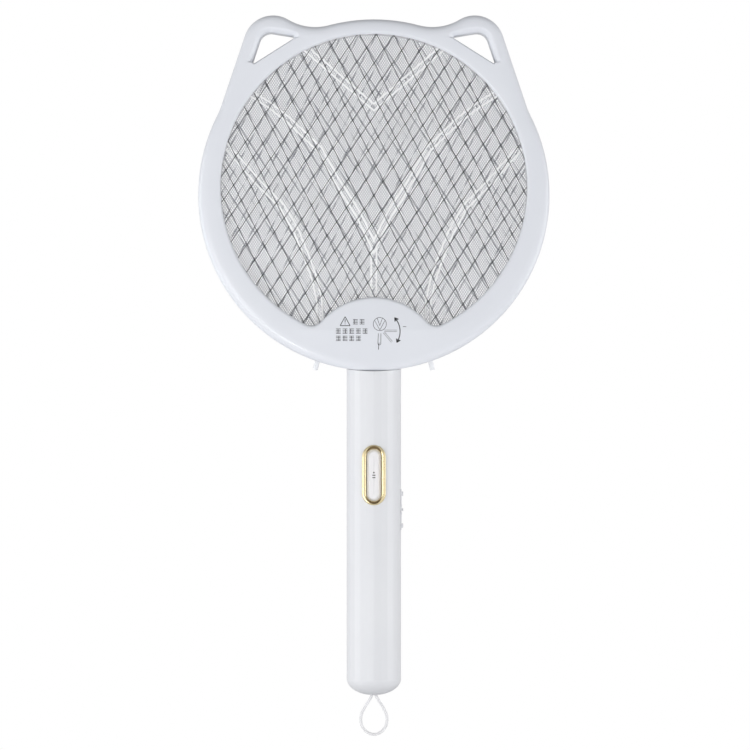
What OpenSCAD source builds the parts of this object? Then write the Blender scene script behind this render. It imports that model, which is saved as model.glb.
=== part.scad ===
// Electric fly swatter: a round head with three nets, folding back on a hinge at the
// top of a round handle. Z runs up the handle, the head's front faces -Y.

/* [Head] */
// Radius of the round head
head_r = 109.5; // [108:0.5:111]
// Thickness of the head, front to back
head_t = 30; // [29:0.5:31]
// Height of the head's centre above the grip
head_z = 252; // [250:0.5:254]
// Radius of the net opening
open_r = 95.9; // [94:0.1:96.5]
// Radius of the lobe that rises into the bottom of the opening
lobe_r = 43; // [41:0.5:45]
// Radius at the tip of each ear
ear_tip_r = 18.5; // [18:0.5:19]
// Radius of the hollow curves where the ears meet the round head
ear_fillet_r = 33; // [30:1:36]
// Width of the band around each ear hole
ear_band = 10.4; // [10:0.1:12]
// Wall thickness of the head shells
head_wall = 2; // [1.6:0.1:2.2]
// Thickness of the head shells' faces
head_plate = 2.2; // [2:0.1:2.4]

/* [Nets] */
// Distance between the strands of a guard net, square to them
guard_pitch = 12.5; // [9:0.1:16]
// Width of a guard strand
guard_strand = 1; // [0.7:0.1:1.2]
// Distance between the bars of the live centre net
live_pitch = 12; // [8:0.5:16]
// Thickness of a guard net
guard_t = 0.7; // [0.6:0.1:0.8]
// Thickness of the live centre net
live_t = 0.8; // [0.6:0.1:0.8]
// Width of the ladder ribs behind the centre net
rib_w = 4.5; // [3.5:0.5:5.5]
// Depth of the ribs
rib_t = 3.7; // [3:0.1:4]
// Width of one rail; they run in pairs, behind the centre net and in front of it
rail_w = 0.9; // [0.8:0.1:1.2]
// Depth of the rails in front of the centre net
rail_t = 1.3; // [1:0.1:1.5]

/* [Handle] */
// Radius of the handle
handle_r = 17; // [17:0.1:17.5]
// Height of the handle's lower end
handle_low = -60; // [-62:0.5:-60]
// Height of the domed lower end
handle_dome = 10.5; // [9:0.5:12]
// Wall thickness of the handle shells
handle_wall = 2; // [1.8:0.1:2.2]

/* [Hinge] */
// Height of the fold axis
pivot_z = 156; // [155.5:0.1:156.5]
// Radius of the knuckle barrel
barrel_r = 9; // [8.8:0.1:9.2]
// Half the width of the knuckle
knuckle_x = 12.2; // [12:0.1:12.3]
// Radius of the hinge axle
axle_r = 2.5; // [2:0.1:3]
// Gap between the handle's top and the head's rim
rim_gap = 0.3; // [0.3:0.1:1]

/* [Key and switch] */
// Height of the middle of the press key
key_z = 77.6; // [76:0.1:79]
// Width of the key's gold bezel
bezel_w = 14.9; // [14:0.1:15.5]
// Height of the bezel
bezel_h = 37.6; // [36:0.1:39]
// Width of the bezel's rim at its sides
bezel_rim = 2.7; // [2.4:0.1:3]
// Width of the bezel's rim at its ends
bezel_end_rim = 2.25; // [2:0.05:2.6]
// Height of the middle of the slide switch
slider_z = 55.9; // [55:0.1:57]

/* [Hidden] */
half_t = head_t / 2;
plate_y = half_t - head_plate;
bezel_size = [bezel_w, bezel_h];
bezel_hole = [bezel_w - 2 * bezel_rim, bezel_h - 2 * bezel_end_rim];
// How far the nets and their spacer rings reach behind the edge of the opening
net_grip = 3.5;
holder_w = 4;
rib_grip = 2.5;
rib_play = 0.3;
rib_y = live_t / 2 + 0.3;
rib_end = rib_y + rib_t;
rib_tie = 1.2;
layer_gap = 0.08;
// The rest of the head's outline, measured from its centre
open_z = 4.9;
lobe_z = -106.6;
pocket_r = 8.5;
ear_tip = [61.8, 93.4];
ear_side = 18.6;
ear_hole_r = 106.8;
// Screws round the head
screw_ring_r = 102.4;
screw_angles = [-52, -14, 26, 60, 120, 154, 194, 232];
screw_boss_r = 2.3;
screw_r = 0.8;
screw_head_r = 1.9;
screw_head_y = half_t - 1.6;
// The slot that the handle's top folds in
slot_x = 18;
slot_wall = 1.6;
slot_top = 180.5;
slot_round = lobe_r - holder_w - slot_wall - 0.2;
web_y = -10.8;
// Hinge parts
seat_x = 15.4;
cheek_in = 13.25;
cheek_out = 15.25;
cheek_r = 8;
neck_front = 6;
neck_back = 8;
neck_foot = 134;
bracket_low = 9;
bracket_high = 16;
bracket_screw = [10, 12];
axle_end = 16.9;
axle_play = 0.06;
ring_t = 0.5;
ring_r = 6.8;
bore_r = 5;
bore_top = 151;
lead_exit_z = 149.7;
lead_hole_r = 1.4;
flange_r = 14.6;
flange_z = 128.2;
// Handle screws
handle_screw_z = [-50, 31, 124];
handle_screw_r = 0.9;
handle_boss_r = 3;
handle_well_y = 13.5;
// Faces of the boards that parts stand on
board_y = -6.6;
board_back = -8.2;
arc_step = 4;
wire_r = 0.6;
cord_r = 0.95;
// Middle lines of the ribs, from the head's centre
rib_top = [[44, 94], [22, 75], [0, 56]];
rib_mid = [[79, 65], [53, 47], [34, 29], [24, 11], [9, -13], [0, -32]];
rib_spine = [[0, -33], [0, -50], [0, -66.4]];
rib_low = [[94, 33], [72, 8], [57, -7], [48, -23], [42, -38], [37, -52], [34, -66], [33, -84]];
// The strap's route, which hangs from the handle's end in a drop-shaped loop
strap_route = [[-1.2, -57.4], [-1.3, -60], [-3.2, -63.6], [-5.6, -67.4], [-7.5, -71.2], [-8.2, -75],
    [-7.3, -79.4], [-4.4, -82.9], [0, -84.4], [4.4, -82.9], [7.3, -79.4], [8.2, -75],
    [7.5, -71.2], [5.6, -67.4], [3.2, -63.6], [1.3, -60], [1.2, -57.4]];

// ---- outline functions, in the plane of the head, from its centre ----
function angle_of(p) = atan2(p[1], p[0]);
function polar(r, a) = [r * cos(a), r * sin(a)];
// Points along an arc, without the last one
function arc(c, r, a0, a1) = let (n = max(1, ceil(abs(a1 - a0) / arc_step)))
    [for (i = [0:n - 1]) c + polar(r, a0 + (a1 - a0) * i / n)];
// Where two circles meet, to the right of the line from the first centre to the second
function meet(c1, r1, c2, r2) = let (v = c2 - c1, d = norm(v), a = (d * d + r1 * r1 - r2 * r2) / (2 * d),
    h = sqrt(r1 * r1 - a * a)) c1 + v * a / d + [v[1], -v[0]] * h / d;
// A closed outline from its right half, which starts and ends on the middle line
function both_sides(p) = concat(p, [for (i = [len(p) - 2:-1:1]) [-p[i][0], p[i][1]]]);

// The straight outer side of an ear: its distance out, and the fillet that ends it
side_out = polar(1, ear_side);
side_up = polar(1, ear_side + 90);
side_dist = side_out * ear_tip + ear_tip_r;
fillet_low = side_out * (side_dist + ear_fillet_r)
    + side_up * sqrt(pow(head_r + ear_fillet_r, 2) - pow(side_dist + ear_fillet_r, 2));
fillet_top = meet(ear_tip, ear_tip_r + ear_fillet_r, [0, 0], head_r + ear_fillet_r);

// The head's outline, moved inwards by d
function outline(d) = both_sides(concat(
    arc([0, 0], head_r - d, -90, angle_of(fillet_low)),
    arc(fillet_low, ear_fillet_r + d, angle_of(fillet_low) + 180, ear_side + 180),
    [fillet_low - side_out * (ear_fillet_r + d)],
    arc(ear_tip, ear_tip_r - d, ear_side, angle_of(fillet_top - ear_tip)),
    arc(fillet_top, ear_fillet_r + d, angle_of(ear_tip - fillet_top), angle_of(-fillet_top)),
    arc([0, 0], head_r - d, angle_of(fillet_top), 90), [[0, head_r - d]]));

open_c = [0, open_z];
lobe_c = [0, lobe_z];
pocket_c = meet(lobe_c, lobe_r + pocket_r, open_c, open_r - pocket_r);
// The net opening, made wider by d
function opening(d) = both_sides(concat(
    arc(lobe_c, lobe_r - d, 90, angle_of(pocket_c - lobe_c)),
    arc(pocket_c, pocket_r + d, angle_of(lobe_c - pocket_c), angle_of(pocket_c - open_c)),
    arc(open_c, open_r + d, angle_of(pocket_c - open_c), 90), [open_c + [0, open_r + d]]));

// The hole in the right ear, made wider by d
function ear_hole(d) = let (
    in_r = ear_hole_r - d, band = ear_band - d, u = side_dist - band,
    cu = side_out * open_c, cv = side_up * open_c,
    low = side_out * u + side_up * (cv + sqrt(in_r * in_r - (u - cu) * (u - cu))),
    top_r = ear_fillet_r + band, high = meet(open_c, in_r, fillet_top, top_r))
    concat([low], arc(ear_tip, ear_tip_r - band, ear_side, angle_of(fillet_top - ear_tip)),
        arc(fillet_top, top_r, angle_of(ear_tip - fillet_top), angle_of(high - fillet_top)),
        arc(open_c, in_r, angle_of(high - open_c), angle_of(low - open_c)));

// ---- shared shapes ----
// Stands a flat shape up in the head's plane, from y0 to y1
module slab(y0, y1) rotate([90, 0, 0]) translate([0, 0, -y1]) linear_extrude(y1 - y0) children();
module in_head(y0, y1) translate([0, 0, head_z]) slab(y0, y1) children();
module block(low, high) translate(low) cube(high - low);
module both() { children(); mirror([1, 0, 0]) children(); }
module rod_y(p, y0, y1, r) translate([p[0], y0, p[1]]) rotate([-90, 0, 0])
    cylinder(r = r, h = y1 - y0, $fn = 32);
module rod_x(x0, x1, y, z, r) translate([x0, y, z]) rotate([0, 90, 0])
    cylinder(r = r, h = x1 - x0, $fn = 48);
module pill(size) square([size[0], size[1] - size[0]], center = true);
module pill_ends(size) for (s = [-1, 1]) translate([0, s * (size[1] - size[0]) / 2])
    circle(d = size[0], $fn = 64);
module at_key() translate([0, key_z]) children();
// A flat ribbon of width w along a path, mitred at its corners
function side_step(path, i) = let (a = path[max(i, 1)] - path[max(i, 1) - 1],
    b = path[min(i + 1, len(path) - 1)] - path[min(i, len(path) - 2)], m = a / norm(a) + b / norm(b),
    n = [-m[1], m[0]] / norm(m)) n / (norm(m) / 2);
function beside(path, d) = [for (i = [0:len(path) - 1]) path[i] + side_step(path, i) * d];
module ribbon(path, w) polygon(concat(
    [for (i = [0:len(path) - 1]) path[i] + side_step(path, i) * w / 2],
    [for (i = [len(path) - 1:-1:0]) path[i] - side_step(path, i) * w / 2]));
function mirrored(path) = [for (p = path) [-p[0], p[1]]];
function through_middle(path) = concat(path, [for (i = [len(path) - 2:-1:0]) [-path[i][0], path[i][1]]]);
// A round tube along a path that never runs along Y: a ring of points square to the path at each point
tube_sides = 8;
function way(path, i) = let (v = path[min(i + 1, len(path) - 1)] - path[max(i - 1, 0)]) v / norm(v);
function ring(c, t, r) = let (u = cross(t, [0, 1, 0]), a = u / norm(u), b = cross(t, a))
    [for (k = [0:tube_sides - 1]) c + r * (a * cos(360 * k / tube_sides) + b * sin(360 * k / tube_sides))];
module tube(path, r) {
    n = len(path);
    points = [for (i = [0:n - 1]) each ring(path[i], way(path, i), r)];
    sides = [for (i = [0:n - 2], k = [0:tube_sides - 1])
        let (m = (k + 1) % tube_sides, a = i * tube_sides, b = a + tube_sides) [a + k, b + k, b + m, a + m]];
    ends = [[for (k = [0:tube_sides - 1]) k], [for (k = [tube_sides - 1:-1:0]) (n - 1) * tube_sides + k]];
    polyhedron(points, concat(sides, ends), convexity = 4);
}
screw_spots = [for (a = screw_angles) open_c + polar(screw_ring_r, a) + [0, head_z]];

// ---- head shells ----
// The hinge slot, made wider by d; its top corners follow the lobe
module slot(d) intersection() {
    translate([-slot_x - d, -head_r - 5]) square([2 * (slot_x + d), slot_top + d - head_z + head_r + 5]);
    translate(lobe_c) circle(r = slot_round + d, $fn = 96);
}
module shell_hollow() difference() {
    polygon(outline(head_wall));
    for (s = [0, 1]) mirror([s, 0]) polygon(ear_hole(head_wall));
    for (p = screw_spots) translate(p - [0, head_z]) circle(r = screw_boss_r, $fn = 32);
    slot(slot_wall);
}
module face_holes() {
    polygon(opening(0));
    for (s = [0, 1]) mirror([s, 0]) polygon(ear_hole(0));
}
module lead_holes() both() rod_x(slot_x - 1, slot_x + slot_wall + 1, 0, 169, 1);

module head_front_shell() color("#dfe2e8") difference() {
    in_head(-half_t, 0) polygon(outline(0));
    in_head(-plate_y, 1) shell_hollow();
    in_head(-half_t - 1, 1) face_holes();
    in_head(web_y, 1) slot(0);
    block([-seat_x, -plate_y, pivot_z - bracket_low - 0.1],
        [seat_x, web_y + 1, pivot_z + bracket_high + 0.1]);
    for (p = screw_spots) rod_y(p, -8, 1, screw_r);
    at_bracket_screws() rod_y([0, 0], -14, -plate_y + 1, screw_r);
    lead_holes();
}

module head_rear_shell() color("#dfe2e8") difference() {
    in_head(0, half_t) polygon(outline(0));
    in_head(-1, plate_y) shell_hollow();
    in_head(-1, half_t + 1) face_holes();
    in_head(-1, half_t + 1) slot(0);
    for (p = screw_spots) {
        rod_y(p, -1, half_t + 1, screw_r + 0.3);
        rod_y(p, screw_head_y, half_t + 1, screw_head_r + 0.1);
    }
    lead_holes();
}

module head_screws() color("#9a9da2") for (p = screw_spots) {
    rod_y(p, -7.5, screw_head_y, screw_r);
    rod_y(p, screw_head_y, half_t - 0.3, screw_head_r);
}

module rear_feet() color("#eceef0") both() translate([0, half_t, 0]) rotate([90, 0, 0]) translate([0, 0, -2])
    linear_extrude(2) polygon([[32.3, 154], [35.6, 154.8], [38.4, 143.2], [35.2, 142.6]]);

// ---- nets and their holders ----
// Straight strands at an angle, held in the frame; the two layers of a net stay just apart
module strands(pitch, a) intersection() {
    rotate(a) for (i = [-8:8]) translate([0, i * pitch]) square([220, guard_strand], center = true);
    polygon(opening(net_grip));
}
module net(y, t, a1, a2, pitch) {
    in_head(y, y + (t - layer_gap) / 2) strands(pitch, a1);
    in_head(y + (t + layer_gap) / 2, y + t) strands(pitch, a2);
}
module front_net() color("#4a4c4f") net(-plate_y, guard_t, 117, 55, guard_pitch);
module rear_net() color("#4a4c4f") net(plate_y - guard_t, guard_t, 123, 61.4, guard_pitch);
module centre_net() color("#b9bcc0") net(-live_t / 2, live_t, 0, 90, live_pitch);

// Ribbons of width w along each rib, or along a pair of lines d to each side of it
rib_paths = [through_middle(rib_top), through_middle(rib_mid), rib_low, mirrored(rib_low), rib_spine];
module rib_ribbons(w) for (path = rib_paths) ribbon(path, w);
module rib_pairs() for (path = rib_paths, s = [-1, 1])
    ribbon(beside(path, s * (rib_w - rail_w) / 2), rail_w);
module rib_ties() for (path = rib_paths, i = [1:len(path) - 2])
    translate(path[i]) rotate(angle_of(path[i + 1] - path[i - 1]))
        square([rib_tie, rib_w - rail_w], center = true);
module holder() difference() { polygon(opening(holder_w)); polygon(opening(0)); }
module front_spacer_ring() color("#f2f3f5") difference() {
    in_head(guard_t - plate_y, -live_t / 2) holder();
    in_head(-live_t / 2 - rail_t - rib_play, 1) rib_ribbons(rib_w + 2 * rib_play);
}
module rear_spacer_ring() color("#f2f3f5") difference() {
    in_head(live_t / 2, plate_y - guard_t) holder();
    in_head(-1, rib_end + rib_play) rib_ribbons(rib_w + 2 * rib_play);
}
module net_ribs() color("#f2f3f5") in_head(rib_y, rib_end) intersection() {
    polygon(opening(rib_grip));
    union() {
        rib_pairs();
        rib_ties();
    }
}
module net_rails() color("#f2f3f5") in_head(-live_t / 2 - rail_t, -live_t / 2) intersection() {
    polygon(opening(rib_grip));
    rib_pairs();
}

// ---- hinge ----
module at_bracket_screws() both() translate([bracket_screw[0], 0, pivot_z + bracket_screw[1]]) children();
module hinge_bracket() color("#d9dce0") difference() {
    union() {
        block([-cheek_out, -plate_y, pivot_z - bracket_low], [cheek_out, web_y, pivot_z + bracket_high]);
        both() {
            rod_x(cheek_in, cheek_out, 0, pivot_z, cheek_r);
            block([cheek_in, web_y - 1, pivot_z - cheek_r + 1], [cheek_out, 0, pivot_z + cheek_r - 1]);
        }
    }
    rod_x(-20, 20, 0, pivot_z, axle_r);
    at_bracket_screws() rod_y([0, 0], -14, -9, 1.1);
}
module bracket_screws() color("#9a9da2") at_bracket_screws() {
    rod_y([0, 0], -14, web_y, 1);
    rod_y([0, 0], web_y, web_y + 1.3, 2);
}
module contact_ring(x0) difference() {
    rod_x(x0, x0 + ring_t, 0, pivot_z, ring_r);
    rod_x(x0 - 1, x0 + 2, 0, pivot_z, axle_r + 0.7);
}
module head_contact_rings() color("#c9a24a") both() {
    contact_ring(cheek_in - ring_t);
    block([cheek_in - ring_t, -1.5, pivot_z + ring_r - 0.3], [cheek_in, 1.5, pivot_z + 12.4]);
}
module handle_contact_rings() color("#c9a24a") both() contact_ring(knuckle_x);
module hinge_axle() color("#a9acb0") rod_x(-axle_end, axle_end, 0, pivot_z, axle_r);
module axle_clips() color("#7d8084") both() difference() {
    rod_x(cheek_out + 0.1, cheek_out + 0.85, 0, pivot_z, axle_r + 2.1);
    rod_x(cheek_out - 1, axle_end + 1, 0, pivot_z, axle_r);
}
module hinge_knuckle() color("#d9dce0") difference() {
    union() {
        rod_x(-knuckle_x, knuckle_x, 0, pivot_z, barrel_r);
        block([-knuckle_x, -neck_front, neck_foot], [knuckle_x, neck_back, pivot_z]);
        translate([0, 0, flange_z]) cylinder(r = flange_r, h = 7.6, $fn = 64);
    }
    rod_x(-20, 20, 0, pivot_z, axle_r + axle_play);
    translate([0, 0, flange_z - 1]) cylinder(r = bore_r, h = bore_top - flange_z + 1, $fn = 48);
    rod_x(-20, 20, 0, lead_exit_z, lead_hole_r);
}

// ---- leads and terminals ----
module net_terminals() color("#c9a24a") {
    block([22, -live_t / 2, 171.4], [26, live_t / 2, 175.6]);
    block([-26, -plate_y, 171], [-22, plate_y, 172]);
    for (y = [-plate_y, plate_y - guard_t]) block([-26, y, 172], [-22, y + guard_t, 175.6]);
}
module head_leads() color("#b3282d") both()
    tube([[12.6, 0, 169], [18, 0, 169], [22, 0, 169.6], [24, 0, 171.4]], wire_r);
module handle_leads() color("#b3282d") both() {
    tube([[4, -6, 118], [4, -3, 122], [4, 0, 130], [4, 0, 147.2], [4.6, 0, 148.9], [6.6, 0, lead_exit_z],
        [9, 0, lead_exit_z], [12.1, 0, lead_exit_z]], wire_r);
    tube([[5, 3, 27.4], [6, 0, 32], [6, -5, 34.8]], wire_r);
}

// ---- handle ----
top_cut_r = head_r + rim_gap;
end_floor = 2.5;
end_flat_r = 4;
function dome(r0, r1, z, h) = [for (a = [0:5:90]) [r0 + (r1 - r0) * sin(a), z + h * (1 - cos(a))]];
module handle_solid() difference() {
    rotate_extrude($fn = 96) polygon(concat(dome(0, handle_r, handle_low, handle_dome),
        [[handle_r, 150], [0, 150]]));
    rotate_extrude($fn = 96) polygon(concat([[0, handle_low + end_floor]],
        dome(end_flat_r, handle_r - handle_wall, handle_low + end_floor, handle_dome - end_floor),
        [[handle_r - handle_wall, 136], [0, 136]]));
    translate([0, -30, head_z]) rotate([-90, 0, 0]) cylinder(r = top_cut_r, h = 60, $fn = 360);
    block([-knuckle_x - 0.2, -neck_front - 0.2, neck_foot - 4],
        [knuckle_x + 0.2, neck_back + 0.2, pivot_z + 4]);
    block([10, -4.6, slider_z - 13.1], [20, 4.6, slider_z + 13.1]);
    translate([0, 0, handle_low - 1]) cylinder(r = 2.6, h = 6, $fn = 32);
}
module key_hole() slab(-20, -10) at_key() { pill(bezel_size); pill_ends(bezel_size); }
module handle_boss(z, y0, y1) rod_y([0, z], y0, y1, handle_boss_r);

module handle_front_shell() color("#e8e9ee") difference() {
    union() {
        intersection() {
            handle_solid();
            block([-40, -40, -100], [40, 0, 200]);
        }
        for (z = handle_screw_z) handle_boss(z, -handle_r + 1, 0);
    }
    key_hole();
    for (z = handle_screw_z) rod_y([0, z], -11, 1, handle_screw_r);
}
module handle_rear_shell() color("#e8e9ee") difference() {
    union() {
        intersection() {
            handle_solid();
            block([-40, 0, -100], [40, 40, 200]);
        }
        for (z = handle_screw_z) handle_boss(z, 0, handle_r - 1);
    }
    for (z = handle_screw_z) {
        rod_y([0, z], -1, 20, handle_screw_r + 0.3);
        rod_y([0, z], handle_well_y, 20, 2.3);
    }
    block([-4.8, 8, 38], [4.8, 20, 42]);
}
module handle_screws() color("#9a9da2") for (z = handle_screw_z) {
    rod_y([0, z], -10, handle_well_y, handle_screw_r);
    rod_y([0, z], handle_well_y, handle_well_y + 1.5, 2.1);
}
module strap_ferrule() color("#c8cbd0") translate([0, 0, handle_low + 2.6])
    cylinder(r = 3.4, h = 3.6, $fn = 32);

module strap_cord() color("#eeeef2") tube([for (p = strap_route) [p[0], 0, p[1]]], cord_r);

// ---- key ----
module key_bezel() color("#d9be62") slab(-18.2, -13.7) at_key() difference() {
    union() { pill(bezel_size - [0.1, 0.1]); pill_ends(bezel_size - [0.1, 0.1]); }
    pill(bezel_hole);
    pill_ends(bezel_hole);
}
module key_pill(size, y0, y1) slab(y0, y1) at_key() { pill(size); pill_ends(size); }
module key_cap() color([0.93, 0.95, 0.97, 0.6]) key_pill(bezel_hole - [0.6, 0.6], -17.9, -14.6);
module key_light_guide() color([0.9, 0.9, 0.85, 0.6]) {
    key_pill(bezel_hole - [1.6, 1.6], -14.6, -13.4);
    key_pill(bezel_hole + [1.6, 1.6], -13.4, -12.6);
}
module tact_switch() color("#26282b") {
    block([-3, -10.4, key_z - 3], [3, board_back, key_z + 3]);
    rod_y([0, key_z], -11.2, -10.4, 1.6);
}
module indicator_lamps() color("#e8b23a") for (s = [-1, 1])
    block([-1.6, -9.4, key_z + s * 9 - 1.4], [1.6, board_back, key_z + s * 9 + 1.4]);

// ---- slide switch ----
module switch_bezel() color("#e8e9ee") difference() {
    union() {
        block([15.2, -4.4, slider_z - 12.9], [17.3, 4.4, slider_z + 12.9]);
        for (s = [-1, 1]) block([17.3, -3.2, slider_z + s * 10 - 1.2], [18.4, 3.2, slider_z + s * 10 + 1.2]);
    }
    block([14, -2.7, slider_z - 8.4], [18, 2.7, slider_z + 8.4]);
}
module mode_slider() color("#e8e9ee") {
    block([15.6, -2.4, slider_z - 4], [17.2, 2.4, slider_z + 4]);
    block([17.2, -2.2, slider_z - 0.8], [18.4, 2.2, slider_z + 0.8]);
    block([13.4, -1, slider_z - 1.5], [15.6, 1, slider_z + 1.5]);
}
module slide_switch_body() color("#3a3d42") difference() {
    block([8, -3, slider_z - 9], [13.2, 3, slider_z + 9]);
    block([12.5, -1.4, slider_z - 6.5], [14, 1.4, slider_z + 6.5]);
}

// ---- boards, cell and charging ----
module main_board() color("#2f6b3f") block([-10.5, board_back, 35], [10.5, board_y, 118]);
module hv_transformer() color("#d8a23a") {
    block([-6.5, board_y, 93], [6.5, 4.5, 95.4]);
    block([-6.5, board_y, 106.6], [6.5, 4.5, 109]);
    translate([0, -1, 95.4]) cylinder(r = 5.4, h = 11.2, $fn = 48);
}
module hv_capacitor() color("#8c2f22") block([-7.5, board_y, 66], [7.5, 1.4, 84]);
module battery_cell() color("#2f7fb5") translate([0, 3, -42]) {
    cylinder(r = 9.15, h = 64, $fn = 96);
    translate([0, 0, 64]) cylinder(r = 3, h = 1, $fn = 32);
}
module battery_contacts() color("#c9a24a") {
    block([-6, -2, 23], [6, 8, 23.6]);
    for (s = [-1, 1]) block([s * 5 - 1, 2, 23.6], [s * 5 + 1, 4, 27.2]);
    block([-6, -2, -43.4], [6, 8, -42.8]);
    translate([0, 3, -42.8]) cylinder(r = 4, h = 0.8, $fn = 32);
}
module charge_board() color("#2f6b3f") block([-7, 1, 36.4], [7, 13, 38]);
module charge_port() color("#b4b7bb") difference() {
    block([-4.5, 6, 38.2], [4.5, 15.6, 41.4]);
    block([-4.1, 8, 38.6], [4.1, 17, 41]);
}

head_front_shell();
head_rear_shell();
front_net();
centre_net();
rear_net();
front_spacer_ring();
rear_spacer_ring();
net_ribs();
net_rails();
rear_feet();
head_screws();
hinge_bracket();
bracket_screws();
head_contact_rings();
net_terminals();
head_leads();
hinge_axle();
axle_clips();
handle_front_shell();
handle_rear_shell();
hinge_knuckle();
handle_contact_rings();
key_bezel();
main_board();
hv_transformer();
hv_capacitor();
tact_switch();
indicator_lamps();
slide_switch_body();
switch_bezel();
battery_cell();
battery_contacts();
charge_board();
charge_port();
handle_screws();
handle_leads();
strap_ferrule();
strap_cord();
mode_slider();
key_cap();
key_light_guide();
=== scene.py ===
"""Electric fly swatter: smooth shells, nets, ribs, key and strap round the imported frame."""
import bpy
import bmesh
import math
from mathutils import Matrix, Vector, geometry, noise


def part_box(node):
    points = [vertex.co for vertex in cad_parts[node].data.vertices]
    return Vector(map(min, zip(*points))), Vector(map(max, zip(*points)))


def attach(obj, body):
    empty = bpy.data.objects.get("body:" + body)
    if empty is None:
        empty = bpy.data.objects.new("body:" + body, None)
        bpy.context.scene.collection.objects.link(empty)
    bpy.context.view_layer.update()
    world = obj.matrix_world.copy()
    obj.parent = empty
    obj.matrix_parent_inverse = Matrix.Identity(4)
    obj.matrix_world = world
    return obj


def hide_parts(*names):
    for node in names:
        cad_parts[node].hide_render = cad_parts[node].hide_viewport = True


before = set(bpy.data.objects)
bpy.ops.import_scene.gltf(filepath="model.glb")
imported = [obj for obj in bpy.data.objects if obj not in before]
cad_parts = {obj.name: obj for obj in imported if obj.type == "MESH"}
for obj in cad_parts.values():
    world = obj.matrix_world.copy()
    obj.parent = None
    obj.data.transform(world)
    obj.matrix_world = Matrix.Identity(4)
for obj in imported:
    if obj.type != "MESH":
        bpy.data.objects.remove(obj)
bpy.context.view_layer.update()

# ---- sizes, in millimetres, from the frame ----
MM = 0.001


def box_mm(node):
    """The low and high corner of a node's box."""
    low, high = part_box(node)
    return Vector(low) / MM, Vector(high) / MM


head_low, head_high = box_mm("head_front_shell")
handle_low = box_mm("handle_front_shell")[0]
bezel_low, bezel_high = box_mm("key_bezel")
net_low, net_high = box_mm("front_net")
rear_low, rear_high = box_mm("rear_net")
slider_low, slider_high = box_mm("mode_slider")
knuckle_high = box_mm("hinge_knuckle")[1]
ribs_low, ribs_high = box_mm("net_ribs")
rails_low, rails_high = box_mm("net_rails")

HEAD_R = head_high.x
HEAD_Z = head_low.z + HEAD_R
HALF_T = -head_low.y
PLATE_Y = -net_low.y
HANDLE_R = -handle_low.y
HANDLE_LOW = handle_low.z
KEY_Z = (bezel_low.z + bezel_high.z) / 2
SLIDER_Z = (slider_low.z + slider_high.z) / 2

# outline of the head, measured from its centre
EAR_TIP = Vector((62.8, 93.4))
EAR_TIP_R = 18.5
EAR_FILLET_R = 33.0
EAR_SIDE = math.radians(18.6)
EAR_DRAFT = 0.2
# the right ear hole's rounded corners: middle and radius
EAR_HOLE = ((Vector((74.6, 82.9)), 0.6), (Vector((64.2, 93.8)), 7.0), (Vector((50.6, 98.1)), 0.6))
OPEN_C = Vector((0, 4.9))
OPEN_R = 95.4
LOBE_C = Vector((0, -106.6))
LOBE_R = 43.0
POCKET_R = 8.5
# how far the nets reach under the frame, and the spacers that hold them there
NET_GRIP = 3.5
NET_EASE = 0.3
HOLDER_W = 4.0
HOLDER_GAP = 0.45
HOLDER_SKIN = 0.75
WALL = 2.0
JOINT_GROOVE = 0.3
# the hinge slot, its walls and the rolled lip in front of it
SLOT_X = 18.0
SLOT_TOP = 180.5
SLOT_WALL = 1.6
SLOT_ROUND = 37.2
WEB_Y = 10.8
LIP_Y = 6.1
LIP_X = 46.0
RIM_GAP = 0.2
SCREW_RING_R = 102.4
SCREW_ANGLES = (-52, -14, 26, 60, 120, 154, 194, 232)
HEAD_WELL_R = 2.2
HEAD_WELL_DEPTH = 1.6
HANDLE_SCREW_Z = (-50, 31, 124)
HANDLE_WELL_R = 2.4
HANDLE_WELL_DEPTH = 3.5


# ---- materials ----
def new_material(name):
    mat = bpy.data.materials.new(name)
    mat.use_nodes = True
    nodes = mat.node_tree.nodes
    return mat, nodes, mat.node_tree.links, nodes["Principled BSDF"]


def put(node, values):
    for name, value in values.items():
        node.inputs[name].default_value = value


def noise_node(nodes, links, scale, detail=3.0):
    coords = nodes.new("ShaderNodeTexCoord")
    tex = nodes.new("ShaderNodeTexNoise")
    put(tex, {"Scale": scale, "Detail": detail})
    links.new(coords.outputs["Object"], tex.inputs["Vector"])
    return tex


RAMP_STOPS = (0.3, 0.7)


def ramp(nodes, links, source, low, high, socket):
    """Drives a shader's socket with a ramp from low to high over a noise."""
    node = nodes.new("ShaderNodeValToRGB")
    for stop, place, colour in zip(node.color_ramp.elements, RAMP_STOPS, (low, high)):
        stop.position = place
        stop.color = (*colour, 1)
    links.new(source.outputs["Fac"], node.inputs["Fac"])
    links.new(node.outputs["Color"], socket)


def grey(v):
    return (v, v, v)


def bump(nodes, links, shader, height, strength, distance):
    node = nodes.new("ShaderNodeBump")
    put(node, {"Strength": strength, "Distance": distance})
    links.new(height, node.inputs["Height"])
    links.new(node.outputs["Normal"], shader.inputs["Normal"])


def plastic(name, low, high, rough, grain=900.0, coat=0.25, bump_mm=0.01, painted_glow=0.0):
    """Moulded plastic: faint mottling, uneven gloss and a fine moulded grain; a glow above zero is painted
    light, an emission from a part that is no lamp.
    """
    mat, nodes, links, shader = new_material(name)
    mottle = noise_node(nodes, links, 18.0, 4.0)
    ramp(nodes, links, mottle, low, high, shader.inputs["Base Color"])
    wear = noise_node(nodes, links, 60.0, 5.0)
    ramp(nodes, links, wear, grey(rough - 0.04), grey(rough + 0.05), shader.inputs["Roughness"])
    fine = noise_node(nodes, links, grain, 2.0)
    bump(nodes, links, shader, fine.outputs["Fac"], 0.35, bump_mm * MM)
    put(shader, {"Coat Weight": coat, "Coat Roughness": 0.12,
                 "Emission Color": (1, 1, 1, 1), "Emission Strength": painted_glow})
    return mat


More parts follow.
